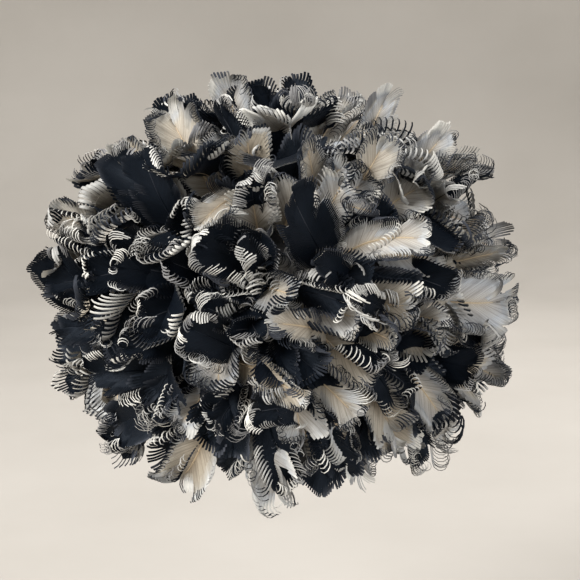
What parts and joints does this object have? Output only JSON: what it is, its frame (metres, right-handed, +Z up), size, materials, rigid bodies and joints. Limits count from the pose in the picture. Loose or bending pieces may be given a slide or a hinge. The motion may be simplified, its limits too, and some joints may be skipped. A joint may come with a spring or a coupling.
{
  "type": "feather hat",
  "caption": "Bubble-shaped cap covered all over with broad curled feathers that are black on one face and ivory on the other.",
  "frame": {"origin": "middle of the head opening, at the level of the rim", "axes": "+Z up, -Y the front that the picture shows, +X the right as seen from the front"},
  "size_m": [0.3051, 0.3187, 0.2539],
  "materials": {
    "foundation": "matte black buckram and felt",
    "black_feather": "blue-black curled feather with a soft sheen, ivory on its back",
    "ivory_feather": "ivory to grey-white curled feather, black on its back"
  },
  "bodies": {
    "root": {"cap": "foundation", "rim_front_left": "black_feather", "rim_front_right": "ivory_feather", "rim_right": "ivory_feather", "rim_back_right": "black_feather", "rim_back_left": "black_feather", "rim_left": "black_feather", "side_front": "black_feather", "side_right": "ivory_feather", "side_back_right": "ivory_feather", "side_back_left": "black_feather", "side_left": "black_feather", "crown_right": "ivory_feather", "crown_back": "black_feather", "crown_left": "ivory_feather"}
  },
  "joints": []
}
